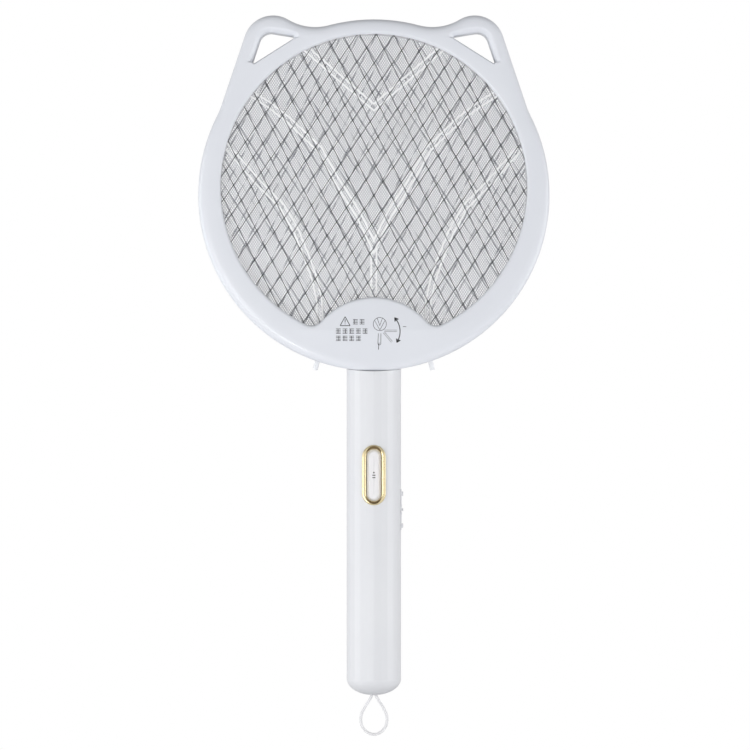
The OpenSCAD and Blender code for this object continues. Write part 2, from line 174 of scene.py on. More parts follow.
def metal(name, low, high, rough, grain=500.0, bump_mm=0.008):
    """Metal with a patchy tone and a fine drawn or rolled surface."""
    mat, nodes, links, shader = new_material(name)
    patch = noise_node(nodes, links, 45.0, 4.0)
    ramp(nodes, links, patch, low, high, shader.inputs["Base Color"])
    fine = noise_node(nodes, links, grain, 3.0)
    ramp(nodes, links, fine, grey(max(0.03, rough - 0.05)), grey(rough + 0.07), shader.inputs["Roughness"])
    bump(nodes, links, shader, fine.outputs["Fac"], 0.3, bump_mm * MM)
    put(shader, {"Metallic": 1.0})
    return mat


def clear(name, tint, rough, inside):
    """Clear moulded resin: transmission, slightly uneven polish."""
    mat, nodes, links, shader = new_material(name)
    haze = noise_node(nodes, links, 120.0, 3.0)
    ramp(nodes, links, haze, tuple(c * 0.97 for c in tint), tint, shader.inputs["Base Color"])
    ramp(nodes, links, haze, grey(rough), grey(rough + 0.04), shader.inputs["Roughness"])
    put(shader, {"Transmission Weight": 1.0 - inside, "IOR": 1.5})
    return mat


def woven(name, low, high):
    """The braided cord's yarn: fine mottling and a soft sheen."""
    mat, nodes, links, shader = new_material(name)
    yarn = noise_node(nodes, links, 2600.0, 2.0)
    ramp(nodes, links, yarn, low, high, shader.inputs["Base Color"])
    bump(nodes, links, shader, yarn.outputs["Fac"], 0.35, 0.03 * MM)
    put(shader, {"Roughness": 0.8, "Sheen Weight": 0.25})
    return mat


WHITE = plastic("frame_white", (0.665, 0.685, 0.735), (0.69, 0.71, 0.755), 0.36)
HANDLE_WHITE = plastic("handle_white", (0.68, 0.69, 0.72), (0.705, 0.715, 0.74), 0.45, coat=0.06)
INNER_WHITE = plastic("inner_white", (0.93, 0.935, 0.945), (0.95, 0.955, 0.96), 0.18, coat=0.6)
# painted glow: the rails emit a little light, though they are no lamp, so they read brighter than the
# scene's light makes them
RAIL_WHITE_PAINTED_GLOW = plastic("rail_white_painted_glow", (0.93, 0.935, 0.95), (0.95, 0.955, 0.97), 0.18, coat=0.6, painted_glow=0.10)
FOOT_WHITE = plastic("foot_white", (0.80, 0.815, 0.84), (0.83, 0.84, 0.86), 0.4)
GUARD = metal("guard_wire", (0.10, 0.103, 0.108), (0.15, 0.153, 0.158), 0.34)
LIVE = metal("live_wire", (0.455, 0.465, 0.51), (0.545, 0.555, 0.60), 0.35)
GOLD = metal("gold", (0.70, 0.60, 0.36), (0.77, 0.66, 0.41), 0.30, bump_mm=0.002)
# painted reflection: a dark brown gold for the arcs inside the bezel's ends, where the ring mirrors dark
# surroundings
PAINTED_REFLECTION_GOLD = metal("gold_painted_reflection", (0.10, 0.07, 0.035), (0.30, 0.21, 0.11), 0.3, bump_mm=0.002)
STEEL = metal("steel", (0.42, 0.43, 0.45), (0.52, 0.53, 0.55), 0.28)
BRASS = metal("brass", (0.66, 0.48, 0.19), (0.74, 0.55, 0.24), 0.25)
CRYSTAL = clear("crystal", (0.985, 0.975, 0.99), 0.03, inside=0.80)
# painted shade: a grey for the thin line that the crystal's crease shows
CREASE_PAINTED_SHADE = plastic("crystal_crease_painted_shade", (0.50, 0.51, 0.54), (0.58, 0.59, 0.62), 0.3)
GUIDE = clear("light_guide", (0.92, 0.92, 0.91), 0.35, inside=0.9)
INK = plastic("ink", (0.018, 0.018, 0.02), (0.03, 0.03, 0.033), 0.5, coat=0.0)
BOARD = plastic("circuit_board", (0.02, 0.12, 0.05), (0.03, 0.17, 0.07), 0.35)
DARK = plastic("dark_plastic", (0.015, 0.016, 0.018), (0.028, 0.029, 0.031), 0.45, coat=0.1)
COIL = plastic("coil_tape", (0.62, 0.40, 0.06), (0.72, 0.47, 0.09), 0.3)
FILM = plastic("capacitor_film", (0.24, 0.03, 0.02), (0.32, 0.05, 0.03), 0.25, coat=0.6)
WRAP = plastic("cell_wrap", (0.03, 0.16, 0.38), (0.04, 0.20, 0.45), 0.25, coat=0.5)
LEAD = plastic("lead_red", (0.42, 0.02, 0.02), (0.52, 0.03, 0.03), 0.5, coat=0.1)
LAMP = clear("lamp_amber", (0.95, 0.62, 0.12), 0.1, inside=0.4)
CORD = woven("braid", (0.70, 0.70, 0.715), (0.78, 0.78, 0.795))


# ---- mesh helpers ----
def at(p, y):
    """A point of the head's or handle's plane at depth y, in metres."""
    return Vector((p[0] * MM, y * MM, p[1] * MM))


def edit(mesh, change=None):
    """Changes a mesh by a function of its bmesh, and turns its faces outward."""
    work = bmesh.new()
    work.from_mesh(mesh)
    if change:
        change(work)
    bmesh.ops.recalc_face_normals(work, faces=work.faces)
    work.to_mesh(mesh)
    work.free()


def make(name, verts, faces, mat, slot, body, sharp=35.0, replaces=()):
    """One visible piece that rides on a body; edges sharper than sharp degrees stay crisp."""
    mesh = bpy.data.meshes.new(name)
    mesh.from_pydata([tuple(v) for v in verts], [], faces)
    mesh.validate()
    edit(mesh)
    mesh.materials.append(mat)
    smooth(mesh, sharp)
    obj = bpy.data.objects.new(name, mesh)
    bpy.context.collection.objects.link(obj)
    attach(obj, body)
    if replaces:
        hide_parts(*replaces)
    return obj


def smooth(mesh, sharp):
    mesh.polygons.foreach_set("use_smooth", [True] * len(mesh.polygons))
    mesh.set_sharp_from_angle(angle=math.radians(sharp))


def bridge(faces, a, b, count, closed=True):
    """Quads between two rings of vertices that start at a and b."""
    for i in range(count if closed else count - 1):
        j = (i + 1) % count
        faces.append((a + i, a + j, b + j, b + i))


def tube(faces, start, count, n):
    """Faces round count rings of n vertices from start on, with both ends closed."""
    for k in range(count - 1):
        bridge(faces, start + n * k, start + n * (k + 1), n)
    end = start + n * (count - 1)
    faces.append(tuple(range(start, start + n)))
    faces.append(tuple(range(end + n - 1, end - 1, -1)))


def loft(rings, closed_ring=True, closed_loft=False):
    """Vertices and quads through rings of the same count."""
    verts = [v for ring in rings for v in ring]
    n = len(rings[0])
    faces = []
    for k in range(len(rings) if closed_loft else len(rings) - 1):
        bridge(faces, k * n, ((k + 1) % len(rings)) * n, n, closed_ring)
    return verts, faces


def cut(obj, *cutters):
    """Cuts boxes or prisms out of a piece, and drops the cutters."""
    for cutter in cutters:
        mod = obj.modifiers.new("cut", "BOOLEAN")
        mod.operation = "DIFFERENCE"
        mod.solver = "EXACT"
        mod.object = cutter
    graph = bpy.context.evaluated_depsgraph_get()
    mesh = bpy.data.meshes.new_from_object(obj.evaluated_get(graph))
    mat = obj.data.materials[0]
    obj.modifiers.clear()
    obj.data = mesh
    mesh.materials.clear()
    mesh.materials.append(mat)
    mesh.polygons.foreach_set("material_index", [0] * len(mesh.polygons))
    smooth(mesh, 30)
    for cutter in cutters:
        bpy.data.objects.remove(cutter, do_unlink=True)


def temp(verts, faces):
    """A cutter for cut()."""
    mesh = bpy.data.meshes.new("cutter")
    mesh.from_pydata([tuple(v) for v in verts], [], faces)
    edit(mesh)
    obj = bpy.data.objects.new("cutter", mesh)
    bpy.context.collection.objects.link(obj)
    return obj


def prism(loop, y0, y1):
    """A closed prism over a loop of flat points."""
    n = len(loop)
    verts = [at(p, y0) for p in loop] + [at(p, y1) for p in loop]
    faces = [tuple(range(n)), tuple(range(2 * n - 1, n - 1, -1))]
    bridge(faces, 0, n, n)
    return verts, faces


def prisms(solids):
    """Several prisms as one mesh: solids are (loop, y0, y1)."""
    verts, faces = [], []
    for solid in solids:
        v, f = prism(*solid)
        faces += [tuple(i + len(verts) for i in face) for face in f]
        verts += v
    return verts, faces


def rectangle(x0, x1, z0, z1):
    return [(x0, z0), (x1, z0), (x1, z1), (x0, z1)]


# ---- outlines: lists of (point, outward normal), counter-clockwise seen from the front ----
def polar(r, a):
    return Vector((r * math.cos(a), r * math.sin(a)))


def angle_of(v):
    return math.atan2(v.y, v.x)


def arc(c, r, a0, a1, step=2.5, sign=1):
    """Points and normals along an arc, without the last; sign -1 where the solid is outside the arc."""
    n = max(2, math.ceil(abs(a1 - a0) / math.radians(step)))
    out = []
    for i in range(n):
        d = polar(1, a0 + (a1 - a0) * i / n)
        out.append((c + d * r, d * sign))
    return out


def meet(c1, r1, c2, r2, right):
    """Where two circles cross, to the right or left of the line from c1 to c2."""
    v = c2 - c1
    d = v.length
    a = (d * d + r1 * r1 - r2 * r2) / (2 * d)
    h = math.sqrt(r1 * r1 - a * a)
    side = Vector((v.y, -v.x)) * (1 if right else -1)
    return c1 + v * (a / d) + side * (h / d)


def mirrored(outline):
    return [(Vector((-p.x, p.y)), Vector((-n.x, n.y))) for p, n in reversed(outline)]


def both_sides(half):
    """A closed outline from its right half, whose two ends lie on the middle line."""
    return half + mirrored(half[1:-1])


ZERO = Vector((0, 0))
SIDE_OUT = polar(1, EAR_SIDE)
SIDE_UP = polar(1, EAR_SIDE + math.pi / 2)
SIDE_DIST = SIDE_OUT.dot(EAR_TIP) + EAR_TIP_R
FILLET_LOW = (SIDE_OUT * (SIDE_DIST + EAR_FILLET_R)
              + SIDE_UP * math.sqrt((HEAD_R + EAR_FILLET_R) ** 2 - (SIDE_DIST + EAR_FILLET_R) ** 2))
FILLET_TOP = meet(ZERO, HEAD_R + EAR_FILLET_R, EAR_TIP, EAR_TIP_R + EAR_FILLET_R, False)


def head_outline():
    """The round head with its two ears; the normals point outward."""
    low = angle_of(FILLET_LOW)
    to_top = angle_of(FILLET_TOP - EAR_TIP)
    half = arc(ZERO, HEAD_R, -math.pi / 2, low)
    half += arc(FILLET_LOW, EAR_FILLET_R, low + math.pi, EAR_SIDE + math.pi, sign=-1)
    start, end = FILLET_LOW - SIDE_OUT * EAR_FILLET_R, EAR_TIP + SIDE_OUT * EAR_TIP_R
    half += [(start.lerp(end, k / 8), SIDE_OUT) for k in range(8)]
    half += arc(EAR_TIP, EAR_TIP_R, EAR_SIDE, to_top, 4)
    half += arc(FILLET_TOP, EAR_FILLET_R, angle_of(EAR_TIP - FILLET_TOP), angle_of(-FILLET_TOP), 3, -1)
    half += arc(ZERO, HEAD_R, angle_of(FILLET_TOP), math.pi / 2)
    half.append((Vector((0, HEAD_R)), Vector((0, 1))))
    return both_sides(half)


POCKET_C = meet(OPEN_C, OPEN_R - POCKET_R, LOBE_C, LOBE_R + POCKET_R, False)


def opening_outline():
    """The net opening; its normals point out of the hole, into the frame."""
    half = arc(LOBE_C, LOBE_R, math.pi / 2, angle_of(POCKET_C - LOBE_C), 4, -1)
    half += arc(POCKET_C, POCKET_R, angle_of(LOBE_C - POCKET_C), angle_of(POCKET_C - OPEN_C), 6)
    half += arc(OPEN_C, OPEN_R, angle_of(POCKET_C - OPEN_C), math.pi / 2)
    half.append((OPEN_C + Vector((0, OPEN_R)), Vector((0, 1))))
    return both_sides(half)


def ear_hole_outline():
    """The right ear's hole, a triangle with rounded corners; normals point into the frame."""
    turns = []
    for (c, r), (c2, r2) in zip(EAR_HOLE, EAR_HOLE[1:] + EAR_HOLE[:1]):
        turns.append(angle_of(c2 - c) - math.acos((r - r2) / (c2 - c).length))
    out = []
    for i, (c, r) in enumerate(EAR_HOLE):
        a0, a1 = turns[i - 1], turns[i]
        if a1 < a0:
            a1 += 2 * math.pi
        out += arc(c, r + EAR_DRAFT, a0, a1, 7.5)
        c2, r2 = EAR_HOLE[(i + 1) % len(EAR_HOLE)]
        start, end = c + polar(r + EAR_DRAFT, a1), c2 + polar(r2 + EAR_DRAFT, a1)
        out += [(start.lerp(end, k / 8), polar(1, a1)) for k in range(8)]
    return out


def moved(outline, d):
    """The outline's points, moved along their normals by d, a number or a function of the point."""
    return [p + n * (d(p) if callable(d) else d) for p, n in outline]


def in_head(points, y):
    """Points measured from the head's centre, as vertices at depth y."""
    return [at((p.x, p.y + HEAD_Z), y) for p in points]


HEAD = head_outline()
OPENING = opening_outline()
EAR_HOLES = (ear_hole_outline(), mirrored(ear_hole_outline()))


def roll_width(p):
    """How far the face rolls off towards the rim: wide at the bottom, narrow at the top."""
    s = p.y / max(p.length, 1.0)
    return 6.0 - 0.5 * s if s < 0 else 6.0 - 0.8 * min(1.0, s / 0.6)


# steps of the rolled edge: (share of the roll's width, share of the half thickness)
RIM_ROLL = ((0.0, 0.012), (0.0, 0.70), (0.012, 0.755), (0.045, 0.81), (0.10, 0.86), (0.18, 0.90),
            (0.29, 0.935), (0.43, 0.962), (0.60, 0.982), (0.80, 0.994), (1.0, 1.0))
# the same at the ear holes: (distance from the hole, share of the half thickness)
EAR_ROLL = ((3.8, 1.0), (3.2, 0.99), (2.7, 0.97), (0.7, 0.88), (0.35, 0.85), (0.1, 0.80),
            (0.0, 0.73), (-EAR_DRAFT, 0.012))
# and round the net opening
OPEN_ROLL = ((2.0, 1.0), (1.3, 0.992), (0.7, 0.972), (0.25, 0.94), (0.0, 0.90))


def ear_bevel(n):
    """The ear hole's bevel is wide above and outside, and narrow on the side of the net."""
    share = min(1.0, max(0.0, (n.y + 0.45) / 0.6))
    return 0.2 + 0.8 * share * share * (3 - 2 * share)


def lip(p, depth):
    """How fully the rim's edge rolls back at p: less at the bottom, over the handle's top."""
    near = max(0.0, 1 - abs(p.x) / LIP_X) if p.y < 0 and depth > 0.5 else 0.0
    return 1 - 0.75 * near * near * (3 - 2 * near)


def head_shell(name, side, width, replaces):
    """One half of the head frame; side is -1 for the front and 1 for the rear."""
    verts, faces = [], []

    def add(ring):
        """Appends a ring of vertices, and returns where it starts."""
        verts.extend(ring)
        return len(verts) - len(ring)

    def fill(groups, y):
        """Flat face between an outer loop and its holes: groups are (start, points)."""
        loops = [[Vector((p.x, p.y, 0)) for p in pts] for start, pts in groups]
        index = [start + i for start, pts in groups for i in range(len(pts))]
        for tri in geometry.tessellate_polygon(loops):
            faces.append(tuple(index[i] for i in tri))

    n = len(HEAD)
    last = None
    for share, depth in RIM_ROLL:
        pts = moved(HEAD, lambda p: -share * width(p))
        reach = [side * HALF_T * (1 - (1 - depth) * lip(p, depth)) for p in pts]
        start = add([v for p, y in zip(pts, reach) for v in in_head([p], y)])
        if last is not None:
            bridge(faces, last, start, n)
        last = start
    face_groups = [(last, pts)]
    # a shallow groove at the joint of the two halves, then the wall's inside
    first = 0
    groove = add(in_head(moved(HEAD, -JOINT_GROOVE), 0.0))
    inside = moved(HEAD, -WALL)
    inside_low = add(in_head(inside, 0.0))
    inside_high = add(in_head(inside, side * PLATE_Y * 0.55))
    back_pts = moved(HEAD, lambda p: -0.45 * width(p) - WALL)
    back = add(in_head(back_pts, side * PLATE_Y))
    for a, b in ((first, groove), (groove, inside_low), (inside_low, inside_high), (inside_high, back)):
        bridge(faces, a, b, n)
    back_groups = [(back, back_pts)]

    def rolled_edge(outline, roll, reach):
        """The edge of a hole in the face: rings from the face inward; returns the last."""
        last = None
        for d, depth in roll:
            pts = [p + n * reach(d, n) for p, n in outline]
            start = add(in_head(pts, side * HALF_T * depth))
            if last is None:
                face_groups.append((start, pts))
            else:
                bridge(faces, last, start, len(outline))
            last = start
        return last

    last = rolled_edge(OPENING, OPEN_ROLL, lambda d, n: d)
    pts = moved(OPENING, 0.0)
    back_edge = add(in_head(pts, side * PLATE_Y))
    bridge(faces, last, back_edge, len(OPENING))
    back_groups.append((back_edge, pts))

    for hole in EAR_HOLES:
        k = len(hole)
        last = rolled_edge(hole, EAR_ROLL, lambda d, n: d * ear_bevel(n) if d > 0 else d)
        pts = moved(hole, WALL)
        wall_low = add(in_head(pts, 0.0))
        wall_high = add(in_head(pts, side * PLATE_Y * 0.8))
        bridge(faces, last, wall_low, k)
        bridge(faces, wall_low, wall_high, k)
        back_ear_pts = moved(hole, 4.0)
        back_ear = add(in_head(back_ear_pts, side * PLATE_Y))
        bridge(faces, wall_high, back_ear, k)
        back_groups.append((back_ear, back_ear_pts))

    fill(face_groups, side * HALF_T)
    fill(back_groups, side * PLATE_Y)
    return make(name, verts, faces, WHITE, "frame_white", "head", 30, replaces)


def box_cutter(x0, x1, y0, y1, z0, z1):
    return temp(*prism(rectangle(x0, x1, z0, z1), y0, y1))


def disc(c, r, count=24):
    return [(c[0] + r * math.cos(2 * math.pi * i / count), c[1] + r * math.sin(2 * math.pi * i / count))
            for i in range(count)]


SCREWS = [OPEN_C + polar(SCREW_RING_R, math.radians(a)) + Vector((0, HEAD_Z)) for a in SCREW_ANGLES]


def slot_loop(wide, foot):
    """The slot's outline, made wider by wide: its top corners follow the lobe."""
    half, top, r = SLOT_X + wide, SLOT_TOP + wide, SLOT_ROUND + wide
    centre = LOBE_C.y + HEAD_Z
    a0 = math.acos(half / r)
    a1 = math.asin((top - centre) / r)
    right = [(half, foot)]
    for k in range(9):
        a = a0 + (a1 - a0) * k / 8
        right.append((r * math.cos(a), centre + r * math.sin(a)))
    return right + [(-x, z) for x, z in reversed(right)]


def slot_liner(name, y0, y1, lift):
    """The U-shaped wall round the hinge slot; at y0 its feet are raised by lift, behind the rolled rim."""
    foot = HEAD_Z - math.sqrt(HEAD_R ** 2 - (SLOT_X + SLOT_WALL) ** 2) + 1.0
    n = len(slot_loop(0, foot))
    verts = [at(p, y) for y, low in ((y0, foot + lift), (y1, foot))
             for wide in (SLOT_WALL, 0) for p in slot_loop(wide, low)]
    faces = []
    for i in range(n - 1):
        for a, b in ((0, n), (n, 3 * n), (3 * n, 2 * n), (2 * n, 0)):
            faces.append((a + i, a + i + 1, b + i + 1, b + i))
    for i in (0, n - 1):
        faces.append((i, n + i, 3 * n + i, 2 * n + i))
    make(name, verts, faces, WHITE, "frame_white", "head", 30)


def build_head_shells():
    front = head_shell("head_front", -1, roll_width, ("head_front_shell",))
    foot = HEAD_Z - HEAD_R - 5
    # under the web the slot stays behind the rolled lip
    cut(front, temp(*prism(slot_loop(0, foot + 8), -WEB_Y, 3)),
        box_cutter(-SLOT_X, SLOT_X, -LIP_Y, 2.9, foot, foot + 10))
    rear = head_shell("head_rear", 1, lambda p: 5.5, ("head_rear_shell",))
    wells = [temp(*prism(disc(p, HEAD_WELL_R), HALF_T - HEAD_WELL_DEPTH, HALF_T + 2)) for p in SCREWS]
    cut(rear, temp(*prism(slot_loop(0, foot), -2, HALF_T + 3)), *wells)
    slot_liner("slot_wall_front", -PLATE_Y + 0.1, -0.02, 7.0)
    slot_liner("slot_wall_rear", PLATE_Y + 0.4, 0.02, 2.5)


def holder(name, y0, y1, node):
    """A spacer ring round the net opening, between two nets."""
    rings = [in_head(moved(OPENING, d), y) for d, y in
             ((0.0, y0), (0.0, y1), (HOLDER_W, y1), (HOLDER_W, y0))]
    make(name, *loft(rings, True, True), INNER_WHITE, "inner_white", "head", 30, (node,))


def clip_line(p, d, outline):
    """The stretches of the line p + t d inside a closed outline of points."""
    hits = []
    n = Vector((-d.y, d.x))
    for i in range(len(outline)):
        a, b = outline[i] - p, outline[(i + 1) % len(outline)] - p
        fa, fb = a.dot(n), b.dot(n)
        if (fa > 0) != (fb > 0):
            hits.append(a.lerp(b, fa / (fa - fb)).dot(d))
    hits.sort()
    return [(hits[i], hits[i + 1]) for i in range(0, len(hits) - 1, 2) if hits[i + 1] - hits[i] > 1.5]


def bar(verts, faces, centres, widths, depths, side):
    """A four-sided strand through centres: (point in the head's plane, y)."""
    start = len(verts)
    for (p, y), w, t in zip(centres, widths, depths):
        for sx, sy in ((-1, -1), (1, -1), (1, 1), (-1, 1)):
            q = p + side * (sx * w / 2)
            verts.append(at((q.x, q.y + HEAD_Z), y + sy * t / 2))
    tube(faces, start, len(centres), 4)


# the guard nets: distance between strands, their width, and their width where they meet
GUARD_PITCH = 9.38
GUARD_THIN = 0.44
GUARD_NODE_W = 0.72
# the live net: distance between wires, and their width
LIVE_PITCH = 1.25
LIVE_WIRE = 0.44


def expanded_net(name, y, angles, replaces):
    """A guard net of slit and stretched sheet: strands swell and bend where they meet."""
    verts, faces = [], []
    outline = moved(OPENING, NET_GRIP - NET_EASE)
    a1, a2 = (math.radians(a) for a in angles)
    # distance along a strand between its meetings with the other family
    cell = GUARD_PITCH / abs(math.sin(a1 - a2))
    for k, (a, other) in enumerate(((a1, a2), (a2, a1))):
        d = polar(1, a)
        side = Vector((-d.y, d.x))
        o = polar(1, other)
        other_side = Vector((-o.y, o.x))
        for i in range(-12, 13):
            p = side * (i * GUARD_PITCH)
            for t0, t1 in clip_line(p, d, outline):
                offset = p.dot(other_side) / GUARD_PITCH
                rate = d.dot(other_side) / GUARD_PITCH
                steps = max(2, int((t1 - t0) / cell * 6))
                centres, widths, depths = [], [], []
                for s in range(steps + 1):
                    t = t0 + (t1 - t0) * s / steps
                    phase = (offset + rate * t) % 1.0
                    near = math.exp(-(min(phase, 1 - phase) / 0.13) ** 2)
                    bend = math.sin(2 * math.pi * phase) * (0.10 if k else 0.05)
                    q = p + d * t + side * bend
                    centres.append((q, y + 0.10 * math.cos(2 * math.pi * phase)))
                    widths.append(GUARD_THIN + (GUARD_NODE_W - GUARD_THIN) * near)
                    depths.append(0.5)
                bar(verts, faces, centres, widths, depths, side)
    make(name, verts, faces, GUARD, "guard_net", "head", 40, replaces)


def live_net():
    """The fine net that carries the charge: two layers of thin wires, fused where they cross."""
    verts, faces = [], []
    outline = moved(OPENING, NET_GRIP - NET_EASE)
    count = int(100 / LIVE_PITCH) + 2
    for a, y in ((56, -0.12), (124, 0.12)):
        d = polar(1, math.radians(a))
        side = Vector((-d.y, d.x))
        for i in range(-count, count + 1):
            p = side * (i * LIVE_PITCH)
            for t0, t1 in clip_line(p, d, outline):
                steps = max(2, int((t1 - t0) / 9))
                centres = []
                for k in range(steps + 1):
                    q = p + d * (t0 + (t1 - t0) * k / steps)
                    drift = noise.noise(Vector((q.x * 0.08, q.y * 0.08, y * 40))) * 0.35
                    centres.append((q + side * drift, y))
                bar(verts, faces, centres, [LIVE_WIRE] * len(centres), [0.3] * len(centres), side)
    make("live_net", verts, faces, LIVE, "live_net", "head", 60, ("centre_net",))


def spline(points, per=10):
    """A smooth line through points (Catmull-Rom), with its ends kept."""
    pts = [points[0] * 2 - points[1]] + points + [points[-1] * 2 - points[-2]]
    out = []
    for i in range(1, len(pts) - 2):
        a, b, c, d = pts[i - 1:i + 3]
        for k in range(per):
            t = k / per
            out.append(0.5 * ((2 * b) + (c - a) * t + (2 * a - 5 * b + 4 * c - d) * t * t
                              + (3 * b - a - 3 * c + d) * t ** 3))
    out.append(points[-1])
    return out


def tangents(path):
    """The path's direction at each of its points."""
    out = []
    for i in range(len(path)):
        v = path[min(i + 1, len(path) - 1)] - path[max(i - 1, 0)]
        out.append(v.normalized())
    return out


# rib lines, from the head's centre: over the top, down both sides and low
RIB_TOP = [Vector(p) for p in ((44, 93), (33, 83.5), (22, 74), (11, 64.5), (0, 55))]
RIB_MID = [Vector(p) for p in ((79, 65), (66, 57), (53, 47), (34, 29), (24, 11), (9, -13), (0, -32))]
RIB_LOW = [Vector(p) for p in ((94, 33), (72, 8), (57, -7), (48, -23), (42, -38), (37, -52),
                               (34, -66), (33, -84))]
RIB_SPINE = [Vector(p) for p in ((0, -33), (0, -44), (0, -55), (0, -66))]
RIB_W = 4.5
RAIL_W = 1.25


def flip(path):
    """The path on the head's other side."""
    return [Vector((-p.x, p.y)) for p in path]


def beside(path, d):
    """The path moved sideways by d, mitred at its corners."""
    out = []
    for i, p in enumerate(path):
        a = (path[max(i, 1)] - path[max(i, 1) - 1]).normalized()
        b = (path[min(i + 1, len(path) - 1)] - path[min(i, len(path) - 2)]).normalized()
        m = (a + b).normalized()
        out.append(p + Vector((-m.y, m.x)) * (d / max(0.4, m.dot(a))))
    return out


def rail(verts, faces, path, width, y0, y1):
    """A bar with a rounded front edge, standing between y0 and y1."""
    depth = y1 - y0
    ease = min(0.35, width * 0.4)
    section = ((-0.5, y1), (-0.5, y0 + ease), (-0.36, y0 + 0.25 * ease), (-0.15, y0),
               (0.15, y0), (0.36, y0 + 0.25 * ease), (0.5, y0 + ease), (0.5, y1))
    start = len(verts)
    for p, q in zip(beside(path, width / 2), beside(path, -width / 2)):
        for sx, y in section:
            r = q.lerp(p, sx + 0.5)
            verts.append(at((r.x, r.y + HEAD_Z), y))
    tube(faces, start, len(path), len(section))


def build_ribs():
    """Ladder ribs behind the live net, and the pairs of rails that hold it from the front."""
    top = RIB_TOP + flip(RIB_TOP[:-1])[::-1]
    mid = RIB_MID + flip(RIB_MID[:-1])[::-1]
    paths = [top, mid, RIB_LOW, flip(RIB_LOW), RIB_SPINE]
    for name, y0, y1, ties in (("net_rail_pairs", rails_low.y, rails_high.y - 0.02, False),
                               ("net_rib_ladders", ribs_low.y, ribs_high.y, True)):
        verts, faces = [], []
        for path in paths:
            for s in (-1, 1):
                rail(verts, faces, beside(path, s * (RIB_W - RAIL_W) / 2), RAIL_W, y0, y1)
            if ties:
                for p, t in list(zip(path, tangents(path)))[1:-1]:
                    side = Vector((-t.y, t.x)) * (RIB_W / 2 - 0.3)
                    rail(verts, faces, [p - side, p + side], 1.0, y0 + 0.6, y1 - 0.1)
        # the rails take the white with the painted glow
        make(name, verts, faces, INNER_WHITE if ties else RAIL_WHITE_PAINTED_GLOW, "inner_white", "head", 50,
             ("net_ribs",) if ties else ("net_rails",))


# ---- handle ----
FLUTES = 24
FLUTE_DEPTH = 0.11
END_DOME = 10.5
END_FLOOR = 2.5
END_FLAT_R = 4.0
STRAP_HOLE_R = 2.7
TOP_CUT_R = HEAD_R + RIM_GAP
TOP_EASE = 0.1
# the bore ends here, below the neck
BORE_TOP = 136
# the seam between the halves: the gap's half angle, and how its edge eases (depth, angle)
SEAM = 0.006
SEAM_EASE = 0.18
SEAM_EASE_ANGLE = 0.02
# x, y and z ranges of the switch's notch and the charge port's hole
NOTCH = (10, 24, -4.6, 4.6, SLIDER_Z - 13.1, SLIDER_Z + 13.1)
PORT = (-4.8, 4.8, 8, 22, 38, 42)


def handle_radius(theta, z):
    """The handle's surface: shallow flutes, running out where the end rounds over."""
    wave = math.sqrt(math.sin(theta * FLUTES / 2) ** 2 + 0.012) - 0.11
    grip = HANDLE_R - FLUTE_DEPTH * wave
    drop = (HANDLE_LOW + END_DOME - z) / END_DOME
    if drop > 0:
        return min(grip, HANDLE_R * math.sqrt(max(0.0, 1 - drop * drop)))
    return grip


def handle_top(x):
    """The height where the handle meets the round rim."""
    return HEAD_Z - math.sqrt(TOP_CUT_R ** 2 - x * x)


def handle_half(name, turn, node, wells):
    """Half of the handle's fluted tube, as a closed shell; turn is the angle where it starts."""
    cols = [turn + SEAM + (math.pi - 2 * SEAM) * i / 128 for i in range(129)]
    rows = []
    start = math.asin(STRAP_HOLE_R / HANDLE_R)
    for k in range(31):
        rows.append(("dome", start + (math.pi / 2 - start) * k / 30))
    for k in range(1, 13):
        rows.append(("wall", k / 12))
    rows.append(("lip", 0))
    outer, inner = [], []
    for kind, value in rows:
        ring_out, ring_in = [], []
        for th in cols:
            c, s = math.cos(th), math.sin(th)
            if kind == "dome":
                z = HANDLE_LOW + END_DOME * (1 - math.cos(value))
                r = handle_radius(th, z)
                share = (value - start) / (math.pi / 2 - start)
                a = share * math.pi / 2
                flat = END_FLAT_R * min(1.0, share * 15)
                ri = max(STRAP_HOLE_R, flat + (HANDLE_R - WALL - END_FLAT_R) * math.sin(a))
                zi = HANDLE_LOW + END_FLOOR + (END_DOME - END_FLOOR) * (1 - math.cos(a))
            else:
                top = handle_top(HANDLE_R * c) - TOP_EASE
                base = HANDLE_LOW + END_DOME
                rise, ease = (value, 0.0) if kind == "wall" else (1.0, TOP_EASE)
                z = base + (top - base) * rise + ease
                r = handle_radius(th, z) - ease
                ri, zi = HANDLE_R - WALL, min(z, BORE_TOP) if kind == "wall" else z
            edge = min(th - cols[0], cols[-1] - th)
            r -= SEAM_EASE * max(0.0, 1 - edge / SEAM_EASE_ANGLE)
            ring_out.append(Vector((r * c, r * s, z)) * MM)
            ring_in.append(Vector((ri * c, ri * s, zi)) * MM)
        outer.append(ring_out)
        inner.append(ring_in)
    n = len(cols)
    verts = [v for ring in outer + inner for v in ring]
    faces = []
    count = len(rows)
    base = count * n
    for k in range(count - 1):
        bridge(faces, k * n, (k + 1) * n, n, False)
        bridge(faces, base + k * n, base + (k + 1) * n, n, False)
        for col in (0, n - 1):
            faces.append((k * n + col, (k + 1) * n + col, base + (k + 1) * n + col, base + k * n + col))
    bridge(faces, 0, base, n, False)
    bridge(faces, (count - 1) * n, base + (count - 1) * n, n, False)
    cut(make(name, verts, faces, HANDLE_WHITE, "handle_white", "handle", 28, (node,)), *wells)


def pill(width, height):
    """A pill-shaped outline round the key's centre, with normals."""
    r = width / 2
    h = height / 2 - r
    out = []
    for sign in (1, -1):
        start = 0 if sign > 0 else math.pi
        out += arc(Vector((0, KEY_Z + sign * h)), r, start, start + math.pi, 7.5)
        out.append((Vector((-sign * r, KEY_Z + sign * h)), Vector((-sign, 0))))
        for k in range(1, 6):
            out.append((Vector((-sign * r, KEY_Z + sign * h * (1 - k / 3))), Vector((-sign, 0))))
    return out


